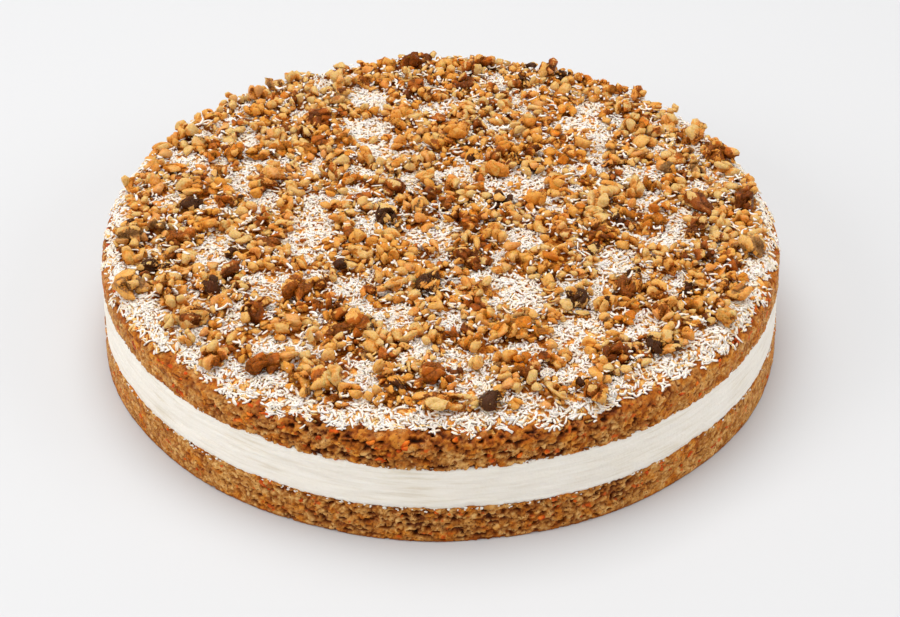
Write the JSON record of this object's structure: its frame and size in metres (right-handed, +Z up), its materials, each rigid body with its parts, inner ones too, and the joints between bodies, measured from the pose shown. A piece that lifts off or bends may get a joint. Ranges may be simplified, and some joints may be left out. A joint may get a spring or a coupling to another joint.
{
  "type": "carrot cake",
  "caption": "Round layer cake of carrot sponge filled with cream, its top strewn with desiccated coconut and chopped walnuts.",
  "frame": {"origin": "middle of the flat underside", "axes": "+Z up out of the topping; the side shown in front faces -Y, and +X is to its right"},
  "size_m": [0.279, 0.2808, 0.0586],
  "materials": {
    "sponge": "moist open crumb, tan brown with orange carrot shreds",
    "cream": "smooth set cream with faint knife streaks",
    "coconut": "dry white shreds",
    "walnut": "toasted honey gold to dark brown skin, slightly oily"
  },
  "bodies": {
    "root": {"bottom_sponge": "sponge", "cream_filling": "cream", "top_sponge": "sponge", "coconut_nut_bed": "coconut", "walnut_01": "walnut", "walnut_02": "walnut", "walnut_03": "walnut", "walnut_04": "walnut", "walnut_05": "walnut", "walnut_06": "walnut", "walnut_07": "walnut", "walnut_08": "walnut", "walnut_09": "walnut", "walnut_10": "walnut", "walnut_11": "walnut", "walnut_12": "walnut", "walnut_13": "walnut", "walnut_14": "walnut", "walnut_15": "walnut", "walnut_16": "walnut", "walnut_17": "walnut", "walnut_18": "walnut", "walnut_19": "walnut", "walnut_20": "walnut", "walnut_21": "walnut", "walnut_22": "walnut", "walnut_23": "walnut", "walnut_24": "walnut", "walnut_25": "walnut", "walnut_26": "walnut", "walnut_27": "walnut", "walnut_28": "walnut", "walnut_29": "walnut", "walnut_30": "walnut", "walnut_31": "walnut", "walnut_32": "walnut", "walnut_33": "walnut", "walnut_34": "walnut", "walnut_35": "walnut", "walnut_36": "walnut", "walnut_37": "walnut", "walnut_38": "walnut", "walnut_39": "walnut", "walnut_40": "walnut", "walnut_41": "walnut", "walnut_42": "walnut", "walnut_43": "walnut", "walnut_44": "walnut", "walnut_45": "walnut", "walnut_46": "walnut", "walnut_47": "walnut", "walnut_48": "walnut"}
  },
  "joints": []
}
